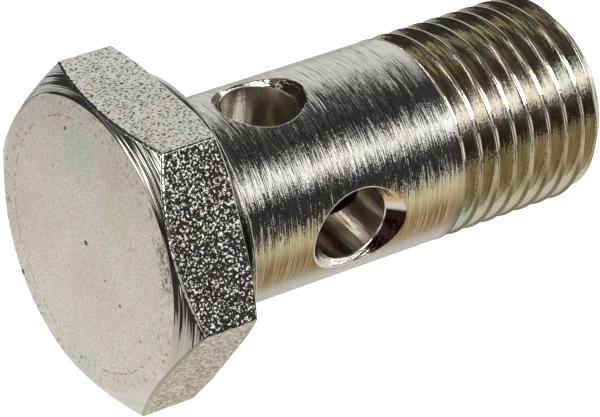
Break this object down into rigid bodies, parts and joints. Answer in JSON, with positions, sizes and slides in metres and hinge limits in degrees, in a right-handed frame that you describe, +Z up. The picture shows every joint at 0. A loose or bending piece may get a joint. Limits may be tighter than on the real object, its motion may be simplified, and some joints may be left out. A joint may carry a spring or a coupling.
{
  "type": "banjo bolt",
  "caption": "Hollow hexagon-head bolt with a washer face, staggered countersunk cross bores in a plain shank, and a threaded hollow end.",
  "frame": {"origin": "middle of the lying bolt's footprint, on the ground it rests on", "axes": "+X towards the threaded tip, +Z up. The bolt's own axis lies in the XZ plane and dips towards the tip by 5.9 degrees, as it rests on one head flat and the tip"},
  "size_m": [0.036, 0.022, 0.0194],
  "materials": {
    "plated_steel": "zinc plated with a faint yellow passivate, turning marks on the shank, pitted hexagon flats"
  },
  "bodies": {
    "root": {"banjo_bolt": "plated_steel"}
  },
  "joints": []
}
